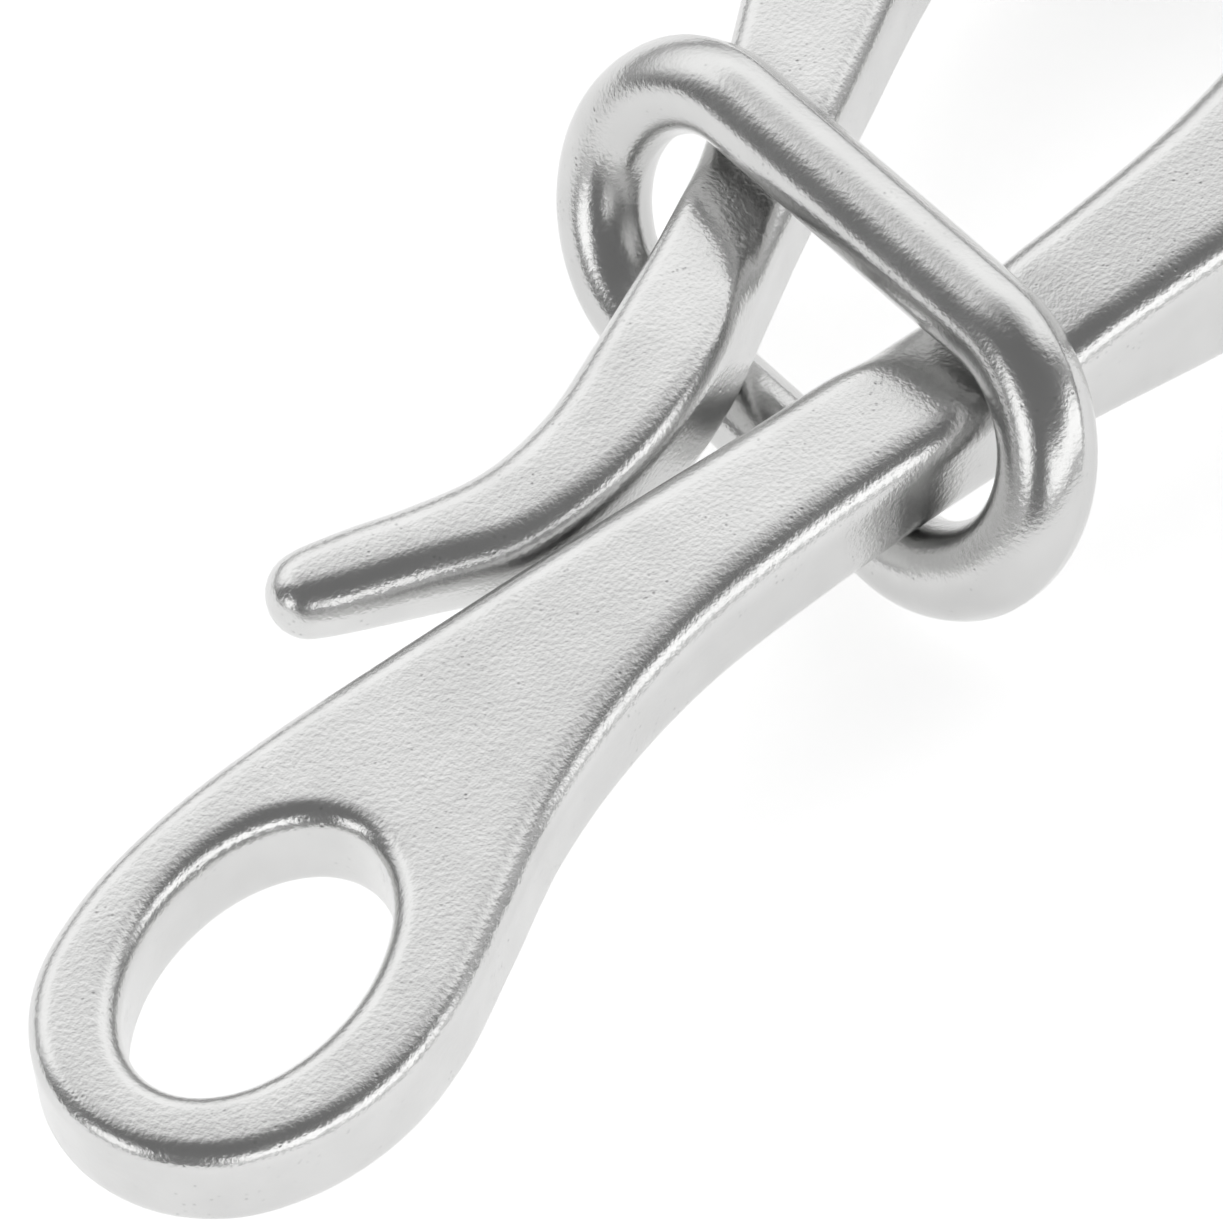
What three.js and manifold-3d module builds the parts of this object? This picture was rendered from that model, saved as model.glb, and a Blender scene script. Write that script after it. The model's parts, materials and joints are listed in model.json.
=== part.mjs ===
// Pelican hook: a slip hook whose tongue swings on a riveted pin in the forked end of the shank and is
// held shut by an oval ring. Lengths are in millimetres. X runs along the shank, from the eye to the
// hinge, Y across it, towards the tongue, and Z through the thickness. While the pieces are being shaped
// the zero point is the middle of the locked ring, on the middle plane of both arms.
import * as THREE from 'three';
import { mergeVertices } from 'three/addons/utils/BufferGeometryUtils.js';
import Module from 'manifold-3d';

const wasm = await Module();
wasm.setup();

// Driving dimensions
const GAP = 0.3; // running clearance between pieces

const EYE_CENTRE = [-47.5, -13.1]; // middle of the oval eye hole
const EYE_HALF_LENGTH = 8.6;
const EYE_HALF_WIDTH = 5.6;
const EYE_TILT = THREE.MathUtils.degToRad(20); // long axis of the eye, from X

const PIN_CENTRE = [40, -5]; // hinge axis
const PIN_RADIUS = 2.5;
const PIN_HEAD_RADIUS = 4.4;
const PIN_HEAD_HEIGHT = 1.7;

const HEAD_RADIUS = 7.8; // round fork cheeks about the hinge axis
const HEAD_THICKNESS = 11;
const LUG_RADIUS = 7; // round end of the tongue about the hinge axis
const LUG_THICKNESS = 4.6;

const RING_BAR = 5.3; // diameter of the ring's round bar
const RING_BEND_RADIUS = 7.15; // middle of the bar, at both ends of the oval
const RING_HALF_STRAIGHT = 9.8;
const RING_LEAN = THREE.MathUtils.degToRad(28); // top strand towards the hinge
const RING_SHIFT = 0.8; // middle of the ring, across the hook

const NOMINAL_THICKNESS = 7.3; // both arms where the ring holds them
const SHANK_EDGE = 1.9; // rounding of the long edges
const TONGUE_EDGE = 1.6;

const BEAK_CENTRE = [-30.8, 4.5]; // rounded end of the tongue
const BEAK_RADIUS = 2.3;

// Thickness of each arm, as [x, thickness] steps along the hook
const SHANK_THICKNESS = [
  [-33, 6], [-15, 7], [-8, 7], [-3, 6.7], [5, 6.7], [16, 9.3], [26, HEAD_THICKNESS],
];
const TONGUE_THICKNESS = [[-33, 3.9], [-26, 4.9], [-8, 6.6], [0, 6], [7, 6], [20, 6.8]];

// Shank sides, from the fork along the tongue side, round the eye and back along the outer side
const SHANK_OUTLINE = [
  [34, 0.9], [28, -1.8], [21, -3.4], [13, -3.9], [4, -3.7], [-8, -3.5], [-18, -3], [-28, -2.6],
  [-38, -2.5], [-46.2, -3.1], [-52.3, -4.6], [-56.8, -7.1], [-59.4, -10.7], [-60.1, -14.8], [-58.9, -18.8],
  [-56, -21.9], [-51.8, -23.5], [-47, -23.6], [-42.4, -22.3], [-36.9, -19.4], [-31, -16.1], [-25, -13.8],
  [-18, -12.2], [-10, -11.6], [-1, -11.6], [8, -12], [18, -12.6], [29, -12.9],
];

// Tongue sides, from the beak along the outer side, round the bow, past the lug and back inside
const TONGUE_OUTER = [
  [-27.5, 6], [-24, 4.8], [-20, 3.9], [-15.5, 4.4], [-11, 6.1], [-6.5, 8.1],
  [-2.9, 9.9], [1.2, 12.3], [8.2, 17.8], [14, 22.5], [20.5, 26.3], [28, 28.5], [36, 28.3], [43.5, 25.3],
  [49.5, 19.6], [52.9, 11.8], [52.6, 3.2], [48.6, -4.2],
];
const TONGUE_INNER = [
  [40.4, 4.2], [42.8, 8.8], [41.9, 14.2], [37.6, 18], [32, 19.2], [26, 18.2], [20, 15.6],
  [11, 10.6], [4.5, 7.1], [-1, 3.9], [-6, 1], [-11.5, -1.2], [-17, -2.2], [-22, -1.9], [-26, -0.2],
];

const OUTLINE_STEP = 1.6; // spacing of the points along a curved side
const EDGE_FACETS = 3; // across each rounded long edge
const HOLE_FACETS = 40; // round a hole, a disc or the slot's root
const EYE_FACETS = 12; // round half of the eye
const RING_STEPS = 64; // along the ring's middle line
const BAR_FACETS = 8; // round half of the ring's bar
const RIVET_FACETS = 32; // round the rivet
const DOME_STEPS = 4; // from a rivet head's rim to its top
const SLOT_OVERRUN = 4; // how far the slot's cutter reaches past the cheeks
const MERGE_DISTANCE = 1e-4; // corners closer than this are one corner

function steppedValue(steps, x) {
  // Straight-line reading of a [x, value] list, level beyond both ends.
  if (x <= steps[0][0]) return steps[0][1];
  for (let i = 1; i < steps.length; i += 1) {
    const [x0, v0] = steps[i - 1];
    const [x1, v1] = steps[i];
    if (x <= x1) return THREE.MathUtils.mapLinear(x, x0, x1, v0, v1);
  }
  return steps[steps.length - 1][1];
}

function arcPoints([cx, cy], radius, fromDegrees, toDegrees, count) {
  const points = [];
  for (let i = 0; i <= count; i += 1) {
    const angle = THREE.MathUtils.degToRad(THREE.MathUtils.lerp(fromDegrees, toDegrees, i / count));
    points.push([cx + radius * Math.cos(angle), cy + radius * Math.sin(angle)]);
  }
  return points;
}

function smoothClosedShape(corners) {
  const knots = corners.map(([x, y]) => new THREE.Vector3(x, y, 0));
  const curve = new THREE.CatmullRomCurve3(knots, true, 'centripetal');
  const count = Math.round(curve.getLength() / OUTLINE_STEP);
  const points = curve.getSpacedPoints(count).slice(0, -1);
  return new THREE.Shape(points.map((p) => new THREE.Vector2(p.x, p.y)));
}

function clippedPolygon(polygon, x, sign) {
  // Part of a flat polygon on one side of the plane at x.
  const kept = [];
  polygon.forEach((here, i) => {
    const next = polygon[(i + 1) % polygon.length];
    const before = sign * (here.x - x);
    const after = sign * (next.x - x);
    if (before >= 0) kept.push(here);
    if (before * after < 0) {
      const [low, high] = here.x < next.x ? [here, next] : [next, here];
      kept.push(low.clone().lerp(high, (x - low.x) / (high.x - low.x)).setX(x));
    }
  });
  return kept;
}

function splitAcross(triangles, x) {
  // Puts an edge wherever the triangles cross the plane at x, so that the surface can bend there.
  return triangles.flatMap((triangle) => [-1, 1].flatMap((sign) => {
    const polygon = clippedPolygon(triangle, x, sign);
    return polygon.slice(2).map((corner, i) => [polygon[0], polygon[i + 1], corner]);
  }));
}

function roundedSlab(shape, edgeRadius, thicknessSteps) {
  // Flat bar with rounded long edges, its thickness following the steps along X.
  const extruded = new THREE.ExtrudeGeometry(shape, {
    depth: NOMINAL_THICKNESS - 2 * edgeRadius,
    bevelThickness: edgeRadius,
    bevelSize: edgeRadius,
    bevelOffset: -edgeRadius,
    bevelSegments: EDGE_FACETS,
    curveSegments: EYE_FACETS,
  });
  extruded.translate(0, 0, edgeRadius - NOMINAL_THICKNESS / 2);
  const position = extruded.attributes.position;
  let triangles = [];
  for (let i = 0; i < position.count; i += 3) {
    triangles.push([i, i + 1, i + 2].map((k) => new THREE.Vector3().fromBufferAttribute(position, k)));
  }
  for (const [x] of thicknessSteps) triangles = splitAcross(triangles, x);
  const corners = triangles.flat().map((corner) => {
    const scale = steppedValue(thicknessSteps, corner.x) / NOMINAL_THICKNESS;
    return new THREE.Vector3(corner.x, corner.y, corner.z * scale);
  });
  return new THREE.BufferGeometry().setFromPoints(corners);
}

function toSolid(geometry) {
  const bare = geometry.index ? geometry.toNonIndexed() : geometry.clone();
  bare.deleteAttribute('normal');
  bare.deleteAttribute('uv');
  const merged = mergeVertices(bare, MERGE_DISTANCE);
  return new wasm.Manifold(new wasm.Mesh({
    numProp: 3,
    vertProperties: new Float32Array(merged.attributes.position.array),
    triVerts: new Uint32Array(merged.index.array),
  }));
}

function toGeometry(solid) {
  const mesh = solid.getMesh();
  const geometry = new THREE.BufferGeometry();
  geometry.setAttribute('position', new THREE.BufferAttribute(new Float32Array(mesh.vertProperties), 3));
  geometry.setIndex(new THREE.BufferAttribute(new Uint32Array(mesh.triVerts), 1));
  geometry.computeVertexNormals();
  return geometry;
}

function discAt([cx, cy], radius, lowZ, highZ) {
  const geometry = new THREE.CylinderGeometry(radius, radius, highZ - lowZ, HOLE_FACETS);
  geometry.rotateX(Math.PI / 2);
  geometry.translate(cx, cy, (lowZ + highZ) / 2);
  return toSolid(geometry);
}

function forkSlot() {
  // Space that the lug swings in: round at the root, open past the end of the cheeks.
  const [cx, cy] = PIN_CENTRE;
  const reach = HEAD_RADIUS + GAP;
  const past = HEAD_RADIUS + SLOT_OVERRUN;
  const shape = new THREE.Shape();
  shape.moveTo(cx + past, cy + past);
  shape.lineTo(cx, cy + past);
  shape.lineTo(cx, cy + reach);
  shape.absarc(cx, cy, reach, Math.PI / 2, (3 * Math.PI) / 2, false);
  shape.lineTo(cx, cy - past);
  shape.lineTo(cx + past, cy - past);
  shape.closePath();
  const depth = LUG_THICKNESS + 2 * GAP;
  const geometry = new THREE.ExtrudeGeometry(shape, {
    depth,
    bevelEnabled: false,
    curveSegments: HOLE_FACETS / 2,
  });
  geometry.translate(0, 0, -depth / 2);
  return toSolid(geometry);
}

function shankBody() {
  const cheeks = arcPoints(PIN_CENTRE, HEAD_RADIUS, -90, 90, 6);
  const shape = smoothClosedShape([...SHANK_OUTLINE, ...cheeks]);
  const eye = new THREE.Path();
  eye.absellipse(...EYE_CENTRE, EYE_HALF_LENGTH, EYE_HALF_WIDTH, 0, 2 * Math.PI, true, EYE_TILT);
  shape.holes.push(eye);
  const through = HEAD_THICKNESS;
  const slab = toSolid(roundedSlab(shape, SHANK_EDGE, SHANK_THICKNESS));
  const pinHole = discAt(PIN_CENTRE, PIN_RADIUS + GAP, -through, through);
  return toGeometry(slab.subtract(forkSlot()).subtract(pinHole));
}

function hookTongue() {
  const beak = arcPoints(BEAK_CENTRE, BEAK_RADIUS, 250, 90, 5);
  const lug = arcPoints(PIN_CENTRE, LUG_RADIUS, -25, -250, 8);
  const shape = smoothClosedShape([...beak, ...TONGUE_OUTER, ...lug, ...TONGUE_INNER]);
  const far = HEAD_THICKNESS;
  const clearRadius = HEAD_RADIUS + 2 * GAP;
  const slab = toSolid(roundedSlab(shape, TONGUE_EDGE, TONGUE_THICKNESS));
  const overLug = discAt(PIN_CENTRE, clearRadius, LUG_THICKNESS / 2, far);
  const underLug = discAt(PIN_CENTRE, clearRadius, -far, -LUG_THICKNESS / 2);
  const pinHole = discAt(PIN_CENTRE, PIN_RADIUS + GAP, -far, far);
  return toGeometry(slab.subtract(overLug).subtract(underLug).subtract(pinHole));
}

function retainingRing() {
  // Round bar bent to an oval: two straights joined by two half circles, swept along its middle line.
  const section = new THREE.Shape();
  section.absarc(0, 0, RING_BAR / 2, 0, 2 * Math.PI, false);
  const quarter = (Math.PI / 2) * RING_BEND_RADIUS;
  const length = 4 * (quarter + RING_HALF_STRAIGHT);
  class OvalCurve extends THREE.Curve {
    getPoint(t, target = new THREE.Vector3()) {
      let along = ((t % 1) * length + length) % length;
      const half = length / 2;
      const side = along < half ? 1 : -1;
      along %= half;
      if (along <= 2 * RING_HALF_STRAIGHT) {
        return target.set(0, side * (along - RING_HALF_STRAIGHT), side * -RING_BEND_RADIUS);
      }
      const turn = (along - 2 * RING_HALF_STRAIGHT) / RING_BEND_RADIUS - Math.PI / 2;
      const y = RING_HALF_STRAIGHT + RING_BEND_RADIUS * Math.cos(turn);
      return target.set(0, side * y, side * RING_BEND_RADIUS * Math.sin(turn));
    }
  }
  return new THREE.ExtrudeGeometry(section, {
    steps: RING_STEPS,
    curveSegments: BAR_FACETS,
    bevelEnabled: false,
    extrudePath: new OvalCurve(),
  });
}

function hingePin() {
  // Rivet: straight shaft with a low domed head closed over each cheek.
  const seat = HEAD_THICKNESS / 2 + GAP;
  const dome = [];
  for (let i = 0; i <= DOME_STEPS; i += 1) {
    const angle = (i / DOME_STEPS) * (Math.PI / 2);
    dome.push([PIN_HEAD_RADIUS * Math.cos(angle), seat + PIN_HEAD_HEIGHT * Math.sin(angle)]);
  }
  const upper = [[PIN_RADIUS, seat], ...dome.slice(0, -1), [0, seat + PIN_HEAD_HEIGHT]];
  const lower = upper.map(([r, y]) => [r, -y]).reverse();
  const profile = [...lower, ...upper].map(([r, y]) => new THREE.Vector2(r, y));
  const geometry = new THREE.LatheGeometry(profile, RIVET_FACETS);
  geometry.rotateX(Math.PI / 2);
  return geometry;
}

function steel(color, roughness) {
  return new THREE.MeshStandardMaterial({ color, roughness, metalness: 1 });
}

function piece(name, geometry, material) {
  const mesh = new THREE.Mesh(geometry, material);
  mesh.name = name;
  return mesh;
}

const shank = piece('shank_body', shankBody(), steel(0xc9c9c8, 0.32));
const tongue = piece('hook_tongue', hookTongue(), steel(0xcbcbca, 0.32));
const ring = piece('retaining_ring', retainingRing(), steel(0xc4c4c3, 0.26));
ring.position.set(0, RING_SHIFT, 0);
ring.rotation.y = RING_LEAN;
const pin = piece('hinge_pin', hingePin(), steel(0xc2c2c1, 0.28));
pin.position.set(...PIN_CENTRE, 0);

// The finished hook stands with the middle of its lowest plane at the zero point.
const hook = new THREE.Group();
hook.add(shank, tongue, ring, pin);
hook.updateMatrixWorld(true);
const bounds = new THREE.Box3().setFromObject(hook, true);
const middle = bounds.getCenter(new THREE.Vector3());
hook.position.set(-middle.x, -middle.y, -bounds.min.z);

export default hook;
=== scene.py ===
import json
import math

import bmesh
import bpy
import numpy as np
from mathutils import Matrix, Vector, noise
from mathutils.geometry import delaunay_2d_cdt


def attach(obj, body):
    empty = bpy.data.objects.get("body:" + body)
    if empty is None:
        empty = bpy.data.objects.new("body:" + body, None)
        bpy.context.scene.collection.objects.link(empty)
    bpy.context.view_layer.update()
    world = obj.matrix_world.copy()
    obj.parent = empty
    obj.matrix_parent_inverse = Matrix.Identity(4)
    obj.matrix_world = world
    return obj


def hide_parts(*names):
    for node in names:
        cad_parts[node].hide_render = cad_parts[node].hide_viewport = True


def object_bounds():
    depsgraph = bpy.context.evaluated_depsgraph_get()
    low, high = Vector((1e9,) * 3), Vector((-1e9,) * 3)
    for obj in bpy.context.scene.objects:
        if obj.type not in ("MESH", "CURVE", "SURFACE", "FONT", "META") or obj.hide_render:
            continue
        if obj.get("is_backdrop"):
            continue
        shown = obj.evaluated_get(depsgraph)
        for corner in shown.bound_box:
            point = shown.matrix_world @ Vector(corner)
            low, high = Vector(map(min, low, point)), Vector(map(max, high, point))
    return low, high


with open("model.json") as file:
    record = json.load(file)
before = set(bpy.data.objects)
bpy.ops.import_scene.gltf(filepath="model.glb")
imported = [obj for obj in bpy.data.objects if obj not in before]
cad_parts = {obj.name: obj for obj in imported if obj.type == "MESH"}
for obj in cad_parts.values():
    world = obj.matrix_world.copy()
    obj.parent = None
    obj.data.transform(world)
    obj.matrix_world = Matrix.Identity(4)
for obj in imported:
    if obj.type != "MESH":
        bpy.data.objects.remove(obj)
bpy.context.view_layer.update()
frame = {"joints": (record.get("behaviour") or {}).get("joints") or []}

bl_info = {
    "name": "Pelican hook",
    "version": (1, 0, 0),
    "blender": (4, 5, 0),
    "location": "3D View > Sidebar > Hook",
    "description": "Cast slip hook with a hinged tongue, a locking ring and a rivet, on a pale studio floor",
    "category": "Object",
}

# ---------------------------------------------------------------------------
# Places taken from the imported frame. Shapes are drawn in millimetres on the hook's own axes: X along the
# shank from the eye to the hinge, Y across it towards the tongue, Z through the thickness, with zero in
# the middle of the locked ring.
# ---------------------------------------------------------------------------

JOINTS = {joint["name"]: joint for joint in frame["joints"]}

MM = 0.001
PIN_CENTRE = (40.0, -5.0)
ZERO = Vector(JOINTS["tongue_hinge"]["pos_m"]) / MM - Vector((*PIN_CENTRE, 0))

# Sides of the cast pieces, as corners that a smooth closed curve passes through
SHANK_SIDES = [
    (34, .9), (28, -1.8), (21, -3.4), (13, -3.9), (4, -3.7), (-8, -3.5), (-18, -3), (-28, -2.6),
    (-38, -2.5), (-46.2, -3.1), (-52.3, -4.6), (-56.8, -7.1), (-59.4, -10.7), (-60.1, -14.8), (-58.9, -18.8),
    (-56, -21.9), (-51.8, -23.5), (-47, -23.6), (-42.4, -22.3), (-36.9, -19.4), (-31, -16.1), (-25, -13.8),
    (-18, -12.2), (-10, -11.6), (-1, -11.6), (8, -12), (18, -12.6), (29, -12.9),
]
TONGUE_OUTER = [
    (-27.5, 6), (-24, 4.8), (-20, 3.9), (-15.5, 4.4), (-11, 6.1), (-6.5, 8.1),
    (-2.9, 9.9), (1.2, 12.3), (8.2, 17.8), (14, 22.5), (20.5, 26.3), (28, 28.5), (36, 28.3), (43.5, 25.3),
    (49.5, 19.6), (52.9, 11.8), (52.6, 3.2), (48.6, -4.2),
]
TONGUE_INNER = [
    (40.4, 4.2), (42.8, 8.8), (41.9, 14.2), (37.6, 18), (32, 19.2), (26, 18.2), (20, 15.6),
    (11, 10.6), (4.5, 7.1), (-1, 3.9), (-6, 1), (-11.5, -1.2), (-17, -2.2), (-22, -1.9), (-26, -0.2),
]
BEAK_CENTRE, BEAK_RADIUS = (-30.8, 4.5), 2.3
EYE_CENTRE, EYE_HALF_LENGTH, EYE_HALF_WIDTH, EYE_TILT = (-47.5, -13.1), 8.6, 5.6, math.radians(20)

# Values that change along the hook, as (x, value) steps
SHANK_THICKNESS = [(-33, 6), (-15, 7), (-8, 7), (-3, 6.9), (5, 6.7), (16, 9.3), (26, 11)]
SHANK_ROUNDING = [(-45, 1.35), (-30, 1.8), (-20, 2.0), (10, 1.9)]
TONGUE_THICKNESS = [(-33, 3.9), (-26, 4.9), (-8, 6.6), (0, 6.2), (7, 6), (20, 6.8)]
TONGUE_ROUNDING = [(-33, 1.9), (-22, 2.1), (-12, 1.7), (-3, 1.3), (20, 1.3), (34, 1.6)]
EYE_ROUNDING = 1.35

# Fork, lug, pin and ring
HEAD_RADIUS, HEAD_THICKNESS = 7.8, 11.0
LUG_RADIUS, LUG_THICKNESS = 7.0, 4.6
GAP = 0.3
PIN_RADIUS, PIN_HEAD_RADIUS, PIN_HEAD_HEIGHT = 2.5, 4.4, 1.7
RING_BAR, RING_BEND_RADIUS, RING_HALF_STRAIGHT = 5.3, 7.15, 9.8
RING_LEAN, RING_SHIFT = math.radians(28), 0.8
SEAM_HEIGHT = 0.06  # of the parting seam round the ring, inside and outside

# Where the ring seats on each arm: a point and a direction away from the arm's inner side
SHANK_SEAT = ((0, -3.6), (0, -1))
TONGUE_SEAT = ((-1, 3.9), (-0.5, 0.866))
SEAT_RAMP = 3.6  # length over which a seat sinks to its full depth

# Camera, in degrees and millimetres
VIEW_AIM = (-20.04, -6.56, 0)
VIEW_DISTANCE = 389.15
VIEW_AZIMUTH, VIEW_ELEVATION, VIEW_ROLL = -35.19, 51.94, 5.15
VIEW_LENS = 226.66
SENSOR_WIDTH = 36
CLIP_START, CLIP_END = 0.01, 20  # metres

# Soft boxes: brightness as (degrees above the floor, share of full) stops, headings in degrees to the right
# of the camera's, and gates as the cosines of the angle off a heading where a box starts and is full
FAR_BOX = [(0, 0.0), (5, 0.1), (16, 0.75), (34, 1.0), (46, 0.98), (56, 0.66), (68, 0.3), (80, 0.0)]
FAR_GATE = (0.05, 0.5)
NEAR_BOX = [(0, 0.0), (5, 0.0), (9, 1.0), (27, 1.0), (36, 0.0)]
NEAR_BOX_TURN, NEAR_GATE = 135, (0.58, 0.8)
STRIP_TURN, STRIP_GATE = -122, (0.94, 0.985)  # a narrow box, as tall as the near one
BACKDROP = (0.9, 0.9, 0.9, 1)

# Floor
FLOOR_COLOUR, FLOOR_ROUGHNESS = (0.8, 0.8, 0.8, 1), 0.9
FLOOR_DROP = 0.0001  # metres under the lowest point

# How finely round stretches are cut
EDGE_ROWS, WALL_ROWS = 9, 5  # rows of points over a rounded edge and down an upright side
EYE_FACETS, HOLE_FACETS, SLOT_FACETS = 110, 96, 48
RING_FACETS, RING_STEPS = 72, 300  # round the bar and along the ring
RIVET_FACETS, DOME_STEPS = 96, 18
EYE_STEP_SHARE = 0.8  # of the outline step, for the eye
CREASE_ANGLE = math.radians(38)

# Cutters, in millimetres
CUTTER_REACH = 10
SLOT_OVERRUN = 4

# Seats: how far a near edge curves back, over what width, how deep at the middle and at the inner edge
SEAT_SWEEP, SEAT_SWEEP_WIDTH = 4.8, 1.8
SEAT_BASE, SEAT_EDGE, SEAT_EDGE_WIDTH = 0.75, 0.35, 2.2
SEAT_FADE = 5
SEAM_WIDTH = 0.12  # sine of the angle that the ring's seam spreads over

# Grain and colour of the castings: scales are per metre and heights are in metres
CLOUD_SCALE, PATCH_SCALE, PIT_SCALE, GRAIN_SCALE = 260, 420, 2100, 3800
GRAIN_HEIGHT, PIT_DEPTH = 0.000045, 0.00003


def to_frame(point):
    """A point on the hook's own axes, in millimetres, as a point of the frame in metres."""
    return (Vector(point) + ZERO) * MM


# ---------------------------------------------------------------------------
# Outlines
# ---------------------------------------------------------------------------

def arc(centre, radius, start, end, count):
    angles = np.radians(np.linspace(start, end, count + 1))
    return [(centre[0] + radius * math.cos(a), centre[1] + radius * math.sin(a)) for a in angles]


def read_steps(steps, x):
    """Value of an (x, value) list at x, softened over a few millimetres so that it has no creases."""
    xs, values = zip(*steps)
    offsets = np.linspace(-2.4, 2.4, 9)
    return np.mean([np.interp(np.asarray(x) + o, xs, values) for o in offsets], axis=0)


def resampled(points, spacing):
    """Evenly spaced points along a closed line."""
    points = np.asarray(points, float)
    closed = np.vstack([points, points[:1]])
    run = np.concatenate([[0], np.cumsum(np.linalg.norm(np.diff(closed, axis=0), axis=1))])
    count = round(run[-1] / spacing)
    stops = np.linspace(0, run[-1], count, endpoint=False)
    return np.column_stack([np.interp(stops, run, closed[:, k]) for k in (0, 1)])


def smooth_outline(corners, spacing):
    """Closed centripetal Catmull-Rom curve through the corners."""
    p = np.asarray(corners, float)
    count = len(p)
    t = np.linspace(0, 1, 24, endpoint=False)[:, None]
    parts = []
    for i in range(count):
        p0, p1, p2, p3 = (p[(i + k) % count] for k in (-1, 0, 1, 2))
        d0, d1, d2 = (np.linalg.norm(b - a) ** 0.5 for a, b in ((p0, p1), (p1, p2), (p2, p3)))
        m1 = ((p1 - p0) / d0 - (p2 - p0) / (d0 + d1) + (p2 - p1) / d1) * d1
        m2 = ((p2 - p1) / d1 - (p3 - p1) / (d1 + d2) + (p3 - p2) / d2) * d1
        bend = (2 * p1 - 2 * p2 + m1 + m2) * t ** 3 + (-3 * p1 + 3 * p2 - 2 * m1 - m2) * t ** 2
        parts.append(bend + m1 * t + p1)
    return resampled(np.vstack(parts), spacing)


def inward(points, material_on_left):
    """Unit directions from a closed outline into the metal."""
    along = np.roll(points, -1, axis=0) - np.roll(points, 1, axis=0)
    along /= np.linalg.norm(along, axis=1)[:, None]
    sign = 1 if material_on_left else -1
    return np.column_stack([-along[:, 1], along[:, 0]]) * sign


def edge_radii(points, wanted, smallest_half):
    """Edge radius at each point of an outer side, kept under the side's own bend and the half thickness."""
    ahead = np.roll(points, -1, axis=0) - points
    heading = np.arctan2(ahead[:, 1], ahead[:, 0])
    turn = np.abs((heading - np.roll(heading, 1) + math.pi) % (2 * math.pi) - math.pi)
    turn = np.mean([np.roll(turn, k) for k in (-1, 0, 1)], axis=0)
    bend = np.linalg.norm(ahead, axis=1) / np.maximum(turn, 1e-4)
    radii = np.minimum(np.minimum(wanted, 0.85 * bend), smallest_half - 0.06)
    shifts = range(-4, 5)
    lowest = np.min([np.roll(radii, k) for k in shifts], axis=0)
    return np.mean([np.roll(lowest, k) for k in shifts], axis=0)


def turns_left(points):
    x, y = points[:, 0], points[:, 1]
    return np.sum(x * np.roll(y, -1) - np.roll(x, -1) * y) > 0


def inside(points, loop):
    """Which points lie inside a closed outline."""
    x, y = points[:, :1], points[:, 1:]
    ax, ay = loop[:, 0], loop[:, 1]
    bx, by = np.roll(ax, -1), np.roll(ay, -1)
    crosses = (ay > y) != (by > y)
    with np.errstate(divide="ignore", invalid="ignore"):
        at = (bx - ax) * (y - ay) / (by - ay) + ax
    return np.count_nonzero(crosses & (x < at), axis=1) % 2 == 1


def distance_to(points, loop):
    """Distance from each point to the nearest point of a fine closed outline."""
    nearest = np.full(len(points), np.inf)
    for start in range(0, len(loop), 64):
        block = loop[start:start + 64]
        gaps = points[:, None, :] - block[None, :, :]
        nearest = np.minimum(nearest, np.sqrt((gaps ** 2).sum(axis=2)).min(axis=1))
    return nearest


# ---------------------------------------------------------------------------
# Meshes
# ---------------------------------------------------------------------------

def plan_triangles(loops, spacing):
    """Triangles that fill the area between closed loops, the first outermost. Returns points and triangles;
    the loops' own points come first, in order."""
    rim = np.vstack(loops)
    low, high = rim.min(axis=0), rim.max(axis=0)
    rows = np.arange(low[1], high[1], spacing * 0.866)
    grid = []
    for k, y in enumerate(rows):
        xs = np.arange(low[0] + (k % 2) * spacing / 2, high[0], spacing)
        grid.append(np.column_stack([xs, np.full(len(xs), y)]))
    grid = np.vstack(grid)
    grid = grid[inside(grid, loops[0])]
    for loop in loops[1:]:
        grid = grid[~inside(grid, loop)]
    grid = grid[distance_to(grid, rim) > spacing * 0.55]
    points = np.vstack([rim, grid])
    edges = []
    start = 0
    for loop in loops:
        edges += [(start + i, start + (i + 1) % len(loop)) for i in range(len(loop))]
        start += len(loop)
    made = delaunay_2d_cdt([Vector(p) for p in points], edges, [], 0, 1e-7)
    came_from = [origin[0] for origin in made[3]]
    triangles = np.array([[came_from[k] for k in face] for face in made[2]])
    middles = points[triangles].mean(axis=1)
    keep = inside(middles, loops[0])
    for loop in loops[1:]:
        keep &= ~inside(middles, loop)
    return points, triangles[keep]


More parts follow.
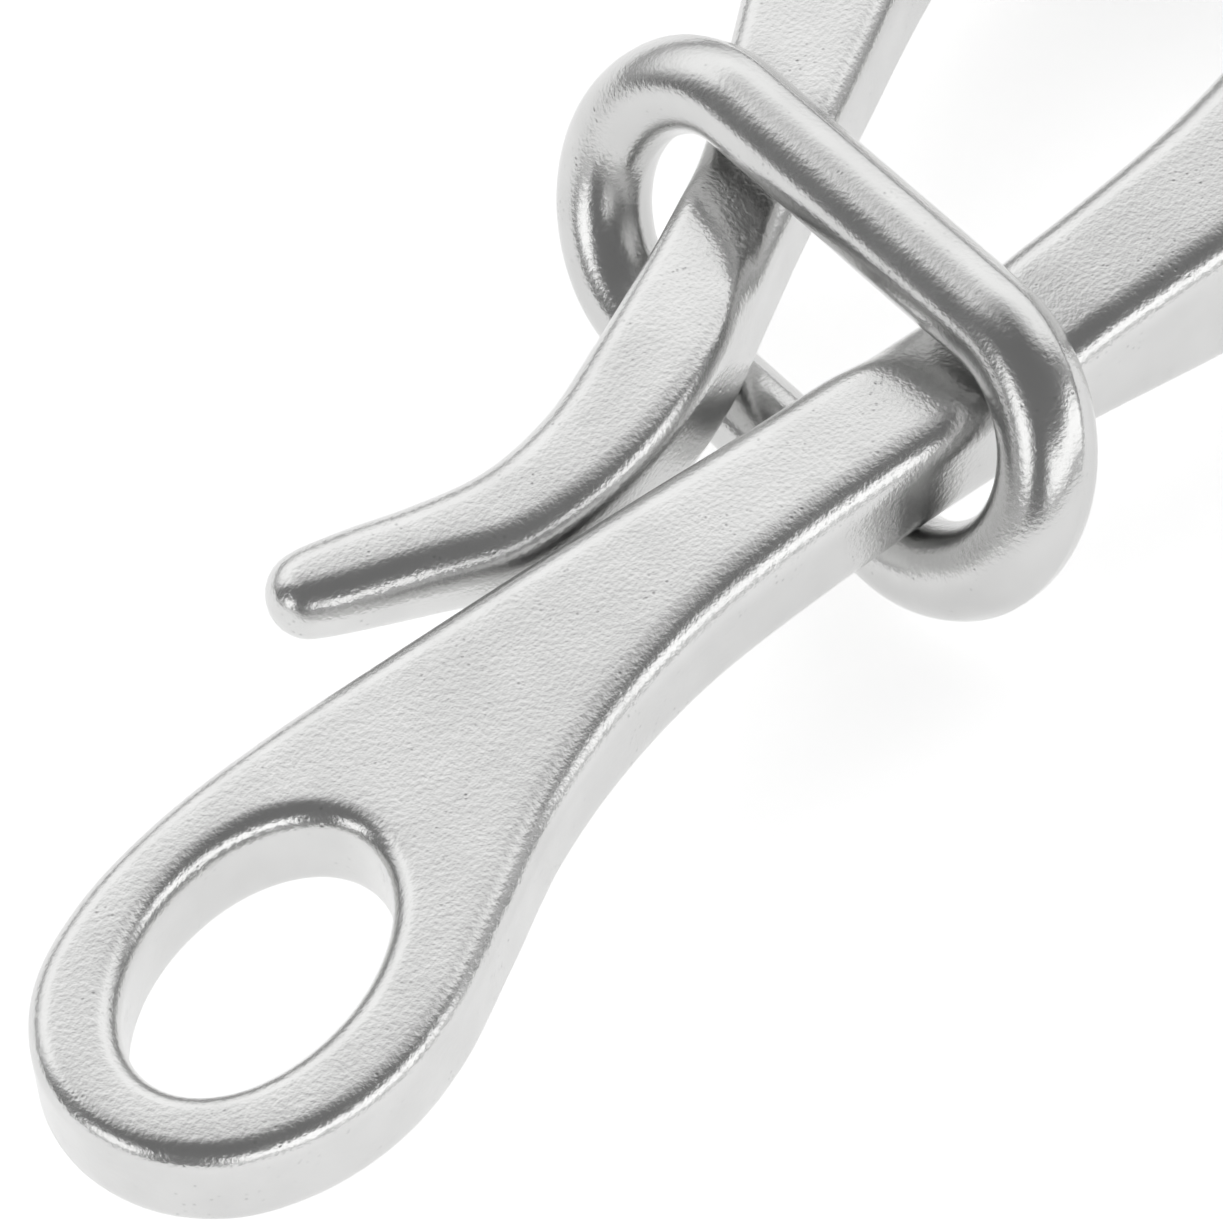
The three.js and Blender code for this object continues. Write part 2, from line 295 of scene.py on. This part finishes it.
def slab(name, loops, roundings, top, bottom, step):
    """Closed bar between outlines: flat faces, a rounded edge all the way round, and upright sides.
    loops[0] is the outer side and any others are holes; top(points) and bottom(points) are the heights
    of the two faces; roundings holds each loop's edge radius at each of its points."""
    inwards = [inward(loop, turns_left(loop) == (k == 0)) for k, loop in enumerate(loops)]
    rims = [loop + n * r[:, None] for loop, n, r in zip(loops, inwards, roundings)]
    plan, triangles = plan_triangles(rims, step)
    count = len(plan)
    verts = [np.column_stack([plan, top(plan)]), np.column_stack([plan, -bottom(plan)])]
    faces = [tuple(t) for t in triangles] + [tuple(t[::-1] + count) for t in triangles]
    total = 2 * count
    start = 0
    for loop, n, r in zip(loops, inwards, roundings):
        size = len(loop)
        rows = [np.arange(size) + start]
        levels = []
        for k in range(1, EDGE_ROWS + 1):
            a = math.radians(90 * (1 - k / EDGE_ROWS))
            xy = loop + n * (r * (1 - math.cos(a)))[:, None]
            levels.append((xy, top(xy) - r + r * math.sin(a)))
        high, low = top(loop) - r, -(bottom(loop) - r)
        for k in range(1, WALL_ROWS):
            levels.append((loop, high + (low - high) * k / WALL_ROWS))
        for k in range(EDGE_ROWS):
            a = math.radians(90 * k / EDGE_ROWS)
            xy = loop + n * (r * (1 - math.cos(a)))[:, None]
            levels.append((xy, -(bottom(xy) - r + r * math.sin(a))))
        for xy, z in levels:
            verts.append(np.column_stack([xy, z]))
            rows.append(np.arange(size) + total)
            total += size
        rows.append(np.arange(size) + start + count)
        for upper, lower in zip(rows, rows[1:]):
            after_upper, after_lower = np.roll(upper, -1), np.roll(lower, -1)
            faces += list(zip(upper, lower, after_lower, after_upper))
        start += size
    return mesh_object(name, np.vstack(verts), faces)


def mesh_object(name, points, faces):
    """Piece from points in millimetres on the hook's own axes."""
    mesh = bpy.data.meshes.new(name)
    places = (np.asarray(points, float) + np.array(ZERO)) * MM
    mesh.from_pydata(places.tolist(), [], [tuple(int(i) for i in f) for f in faces])
    shell = bmesh.new()
    shell.from_mesh(mesh)
    bmesh.ops.recalc_face_normals(shell, faces=shell.faces)
    shell.to_mesh(mesh)
    shell.free()
    made = bpy.data.objects.new(name, mesh)
    bpy.context.scene.collection.objects.link(made)
    return made


def prism(name, loop, low, high):
    """Upright block on a closed outline, used as a cutter."""
    size = len(loop)
    points = [(*p, low) for p in loop] + [(*p, high) for p in loop]
    faces = [tuple(range(size)), tuple(range(size, 2 * size))]
    faces += [(i, (i + 1) % size, size + (i + 1) % size, size + i) for i in range(size)]
    return mesh_object(name, points, faces)


def turned(name, profile, centre, facets):
    """Solid of revolution about an upright axis. The profile's (radius, height) points run from the axis at
    the bottom to the axis at the top."""
    angles = np.linspace(0, 2 * math.pi, facets, endpoint=False)
    inner = profile[1:-1]
    points = [(centre[0], centre[1], profile[0][1])]
    for radius, height in inner:
        points += [
            (centre[0] + radius * math.cos(a), centre[1] + radius * math.sin(a), height) for a in angles]
    points.append((centre[0], centre[1], profile[-1][1]))
    last = len(points) - 1
    faces = []
    for i in range(facets):
        j = (i + 1) % facets
        faces.append((0, 1 + i, 1 + j))
        for k in range(len(inner) - 1):
            a, b = 1 + k * facets, 1 + (k + 1) * facets
            faces.append((a + i, b + i, b + j, a + j))
        top = 1 + (len(inner) - 1) * facets
        faces.append((top + i, last, top + j))
    return mesh_object(name, points, faces)


def cut_away(piece, cutters):
    """Takes the cutters out of the piece and removes them."""
    for cutter in cutters:
        cut = piece.modifiers.new("cut", "BOOLEAN")
        cut.operation = "DIFFERENCE"
        cut.solver = "MANIFOLD"
        cut.object = cutter
    whole = piece.evaluated_get(bpy.context.evaluated_depsgraph_get())
    mesh = bpy.data.meshes.new_from_object(whole)
    piece.modifiers.clear()
    old, piece.data = piece.data, mesh
    bpy.data.meshes.remove(old)
    for cutter in cutters:
        data = cutter.data
        bpy.data.objects.remove(cutter)
        bpy.data.meshes.remove(data)


def roughen(piece, depth, wave):
    """Sinks the surface by a slow unevenness, as on a tumbled casting. Lengths are in millimetres."""
    mesh = piece.data
    count = len(mesh.vertices)
    places, normals = np.empty(count * 3), np.empty(count * 3)
    mesh.vertices.foreach_get("co", places)
    mesh.vertex_normals.foreach_get("vector", normals)
    places = places.reshape(-1, 3)
    waves = np.empty(count)
    for k, point in enumerate(places / MM):
        point = Vector(point)
        slow = noise.noise(point / wave)
        quick = noise.noise(point * 2.7 / wave + Vector((11, 5, 3)))
        waves[k] = 0.5 + 0.36 * slow + 0.14 * quick
    places -= normals.reshape(-1, 3) * (waves * depth * MM)[:, None]
    mesh.vertices.foreach_set("co", places.ravel())
    mesh.update()


def finish_piece(piece, body, node, material):
    mesh = piece.data
    for polygon in mesh.polygons:
        polygon.use_smooth = True
    mesh.set_sharp_from_angle(angle=CREASE_ANGLE)
    mesh.materials.clear()
    mesh.materials.append(material)
    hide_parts(node)
    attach(piece, body)


def seat_dip(points, seat, middle_start, depth, far_end):
    """How far the ring's seat sinks the upper face: its near edge curves back along the arm's inner side."""
    (px, py), (dx, dy) = seat
    across = np.maximum((points[:, 0] - px) * dx + (points[:, 1] - py) * dy, 0)
    start = middle_start - SEAT_SWEEP * np.exp(-across / SEAT_SWEEP_WIDTH)
    rise = smooth_step((points[:, 0] - start) / SEAT_RAMP)
    fade = 1 - smooth_step((points[:, 0] - far_end) / SEAT_FADE)
    return depth * (SEAT_BASE + SEAT_EDGE * np.exp(-across / SEAT_EDGE_WIDTH)) * rise * fade


def smooth_step(t):
    t = np.clip(t, 0, 1)
    return t * t * (3 - 2 * t)


# ---------------------------------------------------------------------------
# Finishes
# ---------------------------------------------------------------------------

def node_maker(tree):
    def make(kind, **values):
        made = tree.nodes.new(kind)
        for name, value in values.items():
            setattr(made, name, value)
        return made
    return make


def ramp(node, stops):
    """Fills a colour ramp with (position, grey or colour) stops."""
    elements = node.color_ramp.elements
    while len(elements) > 1:
        elements.remove(elements[-1])
    for k, (position, value) in enumerate(stops):
        element = elements[0] if k == 0 else elements.new(position)
        element.position = position
        colour = (value,) * 3 if isinstance(value, (int, float)) else tuple(value)
        element.color = (*colour, 1)


def cast_steel(name, colour, roughness, grain, pits):
    """Tumbled cast steel: fine grain and pits in the surface, and slightly uneven colour and gloss."""
    material = bpy.data.materials.new(name)
    material.use_nodes = True
    tree = material.node_tree
    tree.nodes.clear()
    make = node_maker(tree)
    link = tree.links.new
    output = make("ShaderNodeOutputMaterial")
    shader = make("ShaderNodeBsdfPrincipled")
    link(shader.outputs["BSDF"], output.inputs["Surface"])
    shader.inputs["Metallic"].default_value = 1
    place = make("ShaderNodeTexCoord").outputs["Object"]

    clouds = make("ShaderNodeTexNoise")
    clouds.inputs["Scale"].default_value = CLOUD_SCALE
    clouds.inputs["Detail"].default_value = 3
    link(place, clouds.inputs["Vector"])
    tint = make("ShaderNodeValToRGB")
    ramp(tint, [(0.3, [c * 0.96 for c in colour]), (0.7, [min(1, c * 1.03) for c in colour])])
    link(clouds.outputs["Fac"], tint.inputs["Fac"])

    specks = make("ShaderNodeTexVoronoi", feature="F1")
    specks.inputs["Scale"].default_value = PIT_SCALE
    link(place, specks.inputs["Vector"])
    pit = make("ShaderNodeMapRange", interpolation_type="SMOOTHSTEP")
    pit.inputs["From Min"].default_value = 0.04
    pit.inputs["From Max"].default_value = 0.3
    pit.inputs["To Min"].default_value = 1
    pit.inputs["To Max"].default_value = 0
    link(specks.outputs["Distance"], pit.inputs["Value"])
    patches = make("ShaderNodeTexNoise")
    patches.inputs["Scale"].default_value = PATCH_SCALE
    patches.inputs["Detail"].default_value = 4
    link(place, patches.inputs["Vector"])
    scatter = make("ShaderNodeMapRange", interpolation_type="SMOOTHSTEP")
    scatter.inputs["From Min"].default_value = 0.5
    scatter.inputs["From Max"].default_value = 0.68
    link(patches.outputs["Fac"], scatter.inputs["Value"])
    pitted = make("ShaderNodeMath", operation="MULTIPLY")
    link(pit.outputs["Result"], pitted.inputs[0])
    link(scatter.outputs["Result"], pitted.inputs[1])

    # the base colour is made darker in the pits, by up to a fifth
    pit_darkening = make("ShaderNodeMix", data_type="RGBA", blend_type="MULTIPLY")
    pit_darkening.inputs["Factor"].default_value = 1
    dark = make("ShaderNodeValToRGB")
    ramp(dark, [(0, 1.0), (1, 0.8)])
    link(pitted.outputs["Value"], dark.inputs["Fac"])
    link(tint.outputs["Color"], pit_darkening.inputs["A"])
    link(dark.outputs["Color"], pit_darkening.inputs["B"])
    link(pit_darkening.outputs["Result"], shader.inputs["Base Color"])

    gloss = make("ShaderNodeMapRange")
    gloss.inputs["To Min"].default_value = roughness * 0.8
    gloss.inputs["To Max"].default_value = roughness * 1.25
    link(patches.outputs["Fac"], gloss.inputs["Value"])
    link(gloss.outputs["Result"], shader.inputs["Roughness"])

    peel = make("ShaderNodeTexNoise")
    peel.inputs["Scale"].default_value = GRAIN_SCALE
    peel.inputs["Detail"].default_value = 2
    peel.inputs["Roughness"].default_value = 0.5
    link(place, peel.inputs["Vector"])
    skin = make("ShaderNodeBump")
    skin.inputs["Strength"].default_value = grain
    skin.inputs["Distance"].default_value = GRAIN_HEIGHT
    link(peel.outputs["Fac"], skin.inputs["Height"])
    holes = make("ShaderNodeBump", invert=True)
    holes.inputs["Strength"].default_value = pits
    holes.inputs["Distance"].default_value = PIT_DEPTH
    link(pitted.outputs["Value"], holes.inputs["Height"])
    link(skin.outputs["Normal"], holes.inputs["Normal"])
    link(holes.outputs["Normal"], shader.inputs["Normal"])
    return material


# ---------------------------------------------------------------------------
# Settings
# ---------------------------------------------------------------------------

class HookCasting(bpy.types.PropertyGroup):
    """How finely the cast pieces are shaped."""
    outline_step: bpy.props.FloatProperty(
        name="Outline step", description="Spacing of the points along the sides, in millimetres",
        default=0.5, min=0.25, max=2)
    face_step: bpy.props.FloatProperty(
        name="Face step", description="Spacing of the points over the flat faces, in millimetres",
        default=0.85, min=0.4, max=3)
    unevenness: bpy.props.FloatProperty(
        name="Unevenness", description="Depth of the slow waves in the cast surface, in millimetres",
        default=0.035, min=0, max=0.2)
    seat_depth: bpy.props.FloatProperty(
        name="Seat depth", description="Depth of the ring's seats in both arms, in millimetres",
        default=0.5, min=0, max=1)


class HookFinish(bpy.types.PropertyGroup):
    """Colour and gloss of the steel."""
    cast_colour: bpy.props.FloatVectorProperty(
        name="Cast steel", description="Colour of the shank and the tongue",
        subtype="COLOR", default=(0.66, 0.66, 0.655), min=0, max=1)
    ring_colour: bpy.props.FloatVectorProperty(
        name="Ring steel", description="Colour of the ring",
        subtype="COLOR", default=(0.62, 0.62, 0.615), min=0, max=1)
    rivet_colour: bpy.props.FloatVectorProperty(
        name="Rivet steel", description="Colour of the rivet",
        subtype="COLOR", default=(0.6, 0.6, 0.595), min=0, max=1)
    cast_roughness: bpy.props.FloatProperty(
        name="Cast roughness", description="Roughness of the shank and the tongue",
        subtype="FACTOR", default=0.24, min=0, max=1)
    ring_roughness: bpy.props.FloatProperty(
        name="Ring roughness", description="Roughness of the ring and the rivet",
        subtype="FACTOR", default=0.22, min=0, max=1)


class HookStudio(bpy.types.PropertyGroup):
    """Floor and light."""
    floor_size: bpy.props.FloatProperty(
        name="Floor size", description="Length of each side of the floor",
        default=6, min=1, unit="LENGTH", subtype="DISTANCE")
    floor_glow: bpy.props.FloatProperty(
        name="Floor glow", description="Light that comes up through the pale floor",
        default=0.62, min=0, max=2)
    key_light: bpy.props.FloatProperty(
        name="Far soft box", description="Brightness of the large soft box behind the hook",
        default=1.15, min=0, max=10)
    fill_light: bpy.props.FloatProperty(
        name="Near soft box", description="Brightness of the low soft box in front of the hook",
        default=1.45, min=0, max=10)
    dim_light: bpy.props.FloatProperty(
        name="Room", description="Brightness of the dim room between the soft boxes",
        default=0.2, min=0, max=10)


# ---------------------------------------------------------------------------
# Pieces
# ---------------------------------------------------------------------------

class HOOK_OT_shank(bpy.types.Operator):
    """Make the shank with its eye, neck and fork"""
    bl_idname = "hook.shank"
    bl_label = "Shank"

    def execute(self, context):
        casting, finish = context.scene.hook_casting, context.scene.hook_finish
        cheeks = arc(PIN_CENTRE, HEAD_RADIUS, -90, 90, 6)
        outer = smooth_outline(SHANK_SIDES + cheeks, casting.outline_step)
        turn = np.linspace(0, 2 * math.pi, EYE_FACETS, endpoint=False)
        along, across = EYE_HALF_LENGTH * np.cos(turn), EYE_HALF_WIDTH * np.sin(turn)
        eye = np.column_stack([
            EYE_CENTRE[0] + along * math.cos(EYE_TILT) - across * math.sin(EYE_TILT),
            EYE_CENTRE[1] + along * math.sin(EYE_TILT) + across * math.cos(EYE_TILT)])
        eye = resampled(eye, casting.outline_step * EYE_STEP_SHARE)

        def half(points):
            return read_steps(SHANK_THICKNESS, points[:, 0]) / 2

        def top(points):
            return half(points) - seat_dip(points, SHANK_SEAT, -0.2, casting.seat_depth, 5)

        rim = edge_radii(outer, read_steps(SHANK_ROUNDING, outer[:, 0]), half(outer))
        roundings = [rim, np.full(len(eye), EYE_ROUNDING)]
        shank = slab("shank", [outer, eye], roundings, top, half, casting.face_step)
        cut_away(shank, [fork_slot(), disc("pin_hole", PIN_RADIUS + GAP, -CUTTER_REACH, CUTTER_REACH)])
        roughen(shank, casting.unevenness, 5.5)
        material = cast_steel("cast_steel_shank", finish.cast_colour, finish.cast_roughness, 0.6, 0.5)
        finish_piece(shank, "shank", "shank_body", material)
        return {"FINISHED"}


def disc(name, radius, low, high):
    return prism(name, arc(PIN_CENTRE, radius, 0, 360, HOLE_FACETS)[:-1], low, high)


def fork_slot():
    """Cutter for the slot that the tongue's lug swings in."""
    cx, cy = PIN_CENTRE
    reach, past = HEAD_RADIUS + GAP, HEAD_RADIUS + SLOT_OVERRUN
    root = arc(PIN_CENTRE, reach, 90, 270, SLOT_FACETS)
    loop = [(cx + past, cy + past), (cx, cy + past), *root, (cx, cy - past), (cx + past, cy - past)]
    half = LUG_THICKNESS / 2 + GAP
    return prism("fork_slot", loop, -half, half)


class HOOK_OT_tongue(bpy.types.Operator):
    """Make the tongue with its beak, bow and lug"""
    bl_idname = "hook.tongue"
    bl_label = "Tongue"

    def execute(self, context):
        casting, finish = context.scene.hook_casting, context.scene.hook_finish
        beak = arc(BEAK_CENTRE, BEAK_RADIUS, 250, 90, 5)
        lug = arc(PIN_CENTRE, LUG_RADIUS, -25, -250, 8)
        outer = smooth_outline(beak + TONGUE_OUTER + lug + TONGUE_INNER, casting.outline_step)

        def half(points):
            return read_steps(TONGUE_THICKNESS, points[:, 0]) / 2

        def top(points):
            return half(points) - seat_dip(points, TONGUE_SEAT, -1.2, casting.seat_depth, 4)

        roundings = [edge_radii(outer, read_steps(TONGUE_ROUNDING, outer[:, 0]), half(outer))]
        tongue = slab("tongue", [outer], roundings, top, half, casting.face_step)
        clear = HEAD_RADIUS + 2 * GAP
        cutters = [
            disc("over_lug", clear, LUG_THICKNESS / 2, CUTTER_REACH),
            disc("under_lug", clear, -CUTTER_REACH, -LUG_THICKNESS / 2),
            disc("pin_hole", PIN_RADIUS + GAP, -CUTTER_REACH, CUTTER_REACH),
        ]
        cut_away(tongue, cutters)
        roughen(tongue, casting.unevenness, 5)
        material = cast_steel("cast_steel_tongue", finish.cast_colour, finish.cast_roughness, 0.6, 0.5)
        finish_piece(tongue, "tongue", "hook_tongue", material)
        return {"FINISHED"}


class HOOK_OT_ring(bpy.types.Operator):
    """Make the oval ring that locks the tongue"""
    bl_idname = "hook.ring"
    bl_label = "Ring"

    def execute(self, context):
        casting, finish = context.scene.hook_casting, context.scene.hook_finish
        quarter = math.pi / 2 * RING_BEND_RADIUS
        half = 2 * quarter + 2 * RING_HALF_STRAIGHT
        lean = Matrix.Rotation(RING_LEAN, 3, "Y")
        points = []
        for k in range(RING_STEPS):
            run = k / RING_STEPS * 2 * half
            side = 1 if run < half else -1
            run %= half
            if run <= 2 * RING_HALF_STRAIGHT:
                middle = Vector((0, side * (run - RING_HALF_STRAIGHT), side * -RING_BEND_RADIUS))
                out = Vector((0, 0, -side))
            else:
                turn = (run - 2 * RING_HALF_STRAIGHT) / RING_BEND_RADIUS - math.pi / 2
                out = Vector((0, side * math.cos(turn), side * math.sin(turn)))
                middle = Vector((0, side * RING_HALF_STRAIGHT, 0)) + out * RING_BEND_RADIUS
            for i in range(RING_FACETS):
                angle = 2 * math.pi * i / RING_FACETS
                seam = math.exp(-(math.sin(angle) / SEAM_WIDTH) ** 2)
                radius = RING_BAR / 2 - SEAM_HEIGHT * (1 - seam)
                offset = out * math.cos(angle) + Vector((1, 0, 0)) * math.sin(angle)
                points.append(lean @ (middle + offset * radius) + Vector((0, RING_SHIFT, 0)))
        faces = []
        for k in range(RING_STEPS):
            here, ahead = k * RING_FACETS, (k + 1) % RING_STEPS * RING_FACETS
            for i in range(RING_FACETS):
                j = (i + 1) % RING_FACETS
                faces.append((here + i, ahead + i, ahead + j, here + j))
        ring = mesh_object("ring", points, faces)
        roughen(ring, casting.unevenness * 1.5, 6)
        material = cast_steel("ring_steel", finish.ring_colour, finish.ring_roughness, 0.4, 0.35)
        finish_piece(ring, "ring", "retaining_ring", material)
        return {"FINISHED"}


class HOOK_OT_rivet(bpy.types.Operator):
    """Make the rivet that the tongue turns on"""
    bl_idname = "hook.rivet"
    bl_label = "Rivet"

    def execute(self, context):
        casting, finish = context.scene.hook_casting, context.scene.hook_finish
        seat = HEAD_THICKNESS / 2 + GAP
        dome = [(PIN_HEAD_RADIUS * math.cos(a) ** 0.8, seat + PIN_HEAD_HEIGHT * math.sin(a))
                for a in np.linspace(0, math.pi / 2, DOME_STEPS)[:-1]]
        upper = [(PIN_RADIUS, seat), (PIN_HEAD_RADIUS - 0.3, seat), *dome, (0, seat + PIN_HEAD_HEIGHT)]
        lower = [(r, -z) for r, z in reversed(upper)]
        rivet = turned("rivet", lower + upper, PIN_CENTRE, RIVET_FACETS)
        roughen(rivet, casting.unevenness * 1.6, 1.6)
        material = cast_steel("rivet_steel", finish.rivet_colour, finish.ring_roughness, 0.25, 0.4)
        finish_piece(rivet, "shank", "hinge_pin", material)
        return {"FINISHED"}


# ---------------------------------------------------------------------------
# Stage
# ---------------------------------------------------------------------------

class HOOK_OT_stage(bpy.types.Operator):
    """Make the floor, the soft light and the camera"""
    bl_idname = "hook.stage"
    bl_label = "Stage"

    def execute(self, context):
        studio = context.scene.hook_studio
        add_floor(studio)
        add_light(context.scene, studio)
        add_camera(context.scene)
        context.scene.view_settings.view_transform = "Standard"
        return {"FINISHED"}


def add_floor(studio):
    reach = studio.floor_size / 2
    mesh = bpy.data.meshes.new("floor")
    shell = bmesh.new()
    bmesh.ops.create_grid(shell, x_segments=4, y_segments=4, size=reach)
    shell.to_mesh(mesh)
    shell.free()
    floor = bpy.data.objects.new("floor", mesh)
    floor.location.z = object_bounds()[0][2] - FLOOR_DROP
    bpy.context.scene.collection.objects.link(floor)
    material = bpy.data.materials.new("pale_floor")
    material.use_nodes = True
    shader = material.node_tree.nodes["Principled BSDF"]
    shader.inputs["Base Color"].default_value = FLOOR_COLOUR
    shader.inputs["Roughness"].default_value = FLOOR_ROUGHNESS
    shader.inputs["Specular IOR Level"].default_value = 0
    shader.inputs["Emission Color"].default_value = (1, 1, 1, 1)
    shader.inputs["Emission Strength"].default_value = studio.floor_glow
    mesh.materials.append(material)
    floor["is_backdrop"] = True


def add_light(scene, studio):
    """Soft light from all round: a tall box behind the hook, a low box in front of it and a dim room."""
    world = bpy.data.worlds.new("studio")
    scene.world = world
    world.use_nodes = True
    tree = world.node_tree
    tree.nodes.clear()
    make = node_maker(tree)
    link = tree.links.new

    def math_node(operation, *inputs):
        made = make("ShaderNodeMath", operation=operation)
        for k, value in enumerate(inputs):
            if isinstance(value, (int, float)):
                made.inputs[k].default_value = value
            else:
                link(value, made.inputs[k])
        return made.outputs["Value"]

    def soft_gate(value, low, high):
        made = make("ShaderNodeMapRange", interpolation_type="SMOOTHSTEP")
        made.inputs["From Min"].default_value = low
        made.inputs["From Max"].default_value = high
        link(value, made.inputs["Value"])
        return made.outputs["Result"]

    def level(value, stops):
        made = make("ShaderNodeValToRGB")
        made.color_ramp.interpolation = "EASE"
        ramp(made, [(degrees / 90, brightness) for degrees, brightness in stops])
        link(value, made.inputs["Fac"])
        return made.outputs["Color"]

    direction = make("ShaderNodeTexCoord").outputs["Generated"]
    split = make("ShaderNodeSeparateXYZ")
    link(direction, split.inputs["Vector"])
    height = split.outputs["Z"]
    rise = math_node("DIVIDE", math_node("ARCSINE", height), math.pi / 2)
    azimuth = math.radians(VIEW_AZIMUTH)
    level_reach = math_node("SQRT", math_node("SUBTRACT", 1.0001, math_node("MULTIPLY", height, height)))

    def towards(turn):
        """How nearly a direction lies along a heading, turned to the right from straight ahead."""
        heading = azimuth - math.radians(turn)
        along = make("ShaderNodeVectorMath", operation="DOT_PRODUCT")
        along.inputs[1].default_value = (-math.sin(heading), math.cos(heading), 0)
        link(direction, along.inputs[0])
        return math_node("DIVIDE", along.outputs["Value"], level_reach)

    far_gate = soft_gate(towards(0), *FAR_GATE)
    near_gate = soft_gate(towards(NEAR_BOX_TURN), *NEAR_GATE)
    near_gate = math_node("ADD", near_gate, soft_gate(towards(STRIP_TURN), *STRIP_GATE))
    far = math_node("MULTIPLY", math_node("MULTIPLY", level(rise, FAR_BOX), far_gate), studio.key_light)
    near = math_node("MULTIPLY", math_node("MULTIPLY", level(rise, NEAR_BOX), near_gate), studio.fill_light)
    shine = math_node("ADD", math_node("ADD", far, near), studio.dim_light)

    lit = make("ShaderNodeBackground")
    link(shine, lit.inputs["Color"])
    backdrop = make("ShaderNodeBackground")
    backdrop.inputs["Color"].default_value = BACKDROP
    seen = make("ShaderNodeLightPath")
    choose = make("ShaderNodeMixShader")
    link(seen.outputs["Is Camera Ray"], choose.inputs["Fac"])
    link(lit.outputs["Background"], choose.inputs[1])
    link(backdrop.outputs["Background"], choose.inputs[2])
    output = make("ShaderNodeOutputWorld")
    link(choose.outputs["Shader"], output.inputs["Surface"])


def add_camera(scene):
    camera = bpy.data.objects.new("camera", bpy.data.cameras.new("camera"))
    scene.collection.objects.link(camera)
    azimuth, elevation, roll = (math.radians(a) for a in (VIEW_AZIMUTH, VIEW_ELEVATION, VIEW_ROLL))
    back = Vector((
        math.sin(azimuth) * math.cos(elevation),
        -math.cos(azimuth) * math.cos(elevation),
        math.sin(elevation)))
    right = Vector((math.cos(azimuth), math.sin(azimuth), 0))
    up = back.cross(right)
    tilted_up = up * math.cos(roll) + right * math.sin(roll)
    tilted_right = tilted_up.cross(back)
    camera.rotation_euler = Matrix((tilted_right, tilted_up, back)).transposed().to_euler()
    camera.location = to_frame(VIEW_AIM) + back * VIEW_DISTANCE * MM
    camera.data.lens = VIEW_LENS
    camera.data.sensor_width = SENSOR_WIDTH
    camera.data.clip_start = CLIP_START
    camera.data.clip_end = CLIP_END
    scene.camera = camera


# ---------------------------------------------------------------------------
# Add-on
# ---------------------------------------------------------------------------

PIECES = (HOOK_OT_stage, HOOK_OT_shank, HOOK_OT_tongue, HOOK_OT_ring, HOOK_OT_rivet)
SETTINGS = {"hook_casting": HookCasting, "hook_finish": HookFinish, "hook_studio": HookStudio}


class HOOK_PT_panel(bpy.types.Panel):
    """Pieces of the hook and their settings"""
    bl_idname = "HOOK_PT_panel"
    bl_label = "Pelican hook"
    bl_space_type = "VIEW_3D"
    bl_region_type = "UI"
    bl_category = "Hook"

    def draw(self, context):
        for settings in SETTINGS:
            group = getattr(context.scene, settings)
            column = self.layout.column()
            for name in group.bl_rna.properties.keys():
                if name not in {"rna_type", "name"}:
                    column.prop(group, name)
        for operator in PIECES:
            self.layout.operator(operator.bl_idname)


def register():
    for made in (*SETTINGS.values(), *PIECES, HOOK_PT_panel):
        bpy.utils.register_class(made)
    for name, settings in SETTINGS.items():
        setattr(bpy.types.Scene, name, bpy.props.PointerProperty(type=settings))


def unregister():
    for name in SETTINGS:
        delattr(bpy.types.Scene, name)
    for made in reversed((*SETTINGS.values(), *PIECES, HOOK_PT_panel)):
        bpy.utils.unregister_class(made)


def main():
    register()
    bpy.ops.hook.stage()
    bpy.ops.hook.shank()
    bpy.ops.hook.tongue()
    bpy.ops.hook.ring()
    bpy.ops.hook.rivet()


if __name__ == "__main__":
    main()
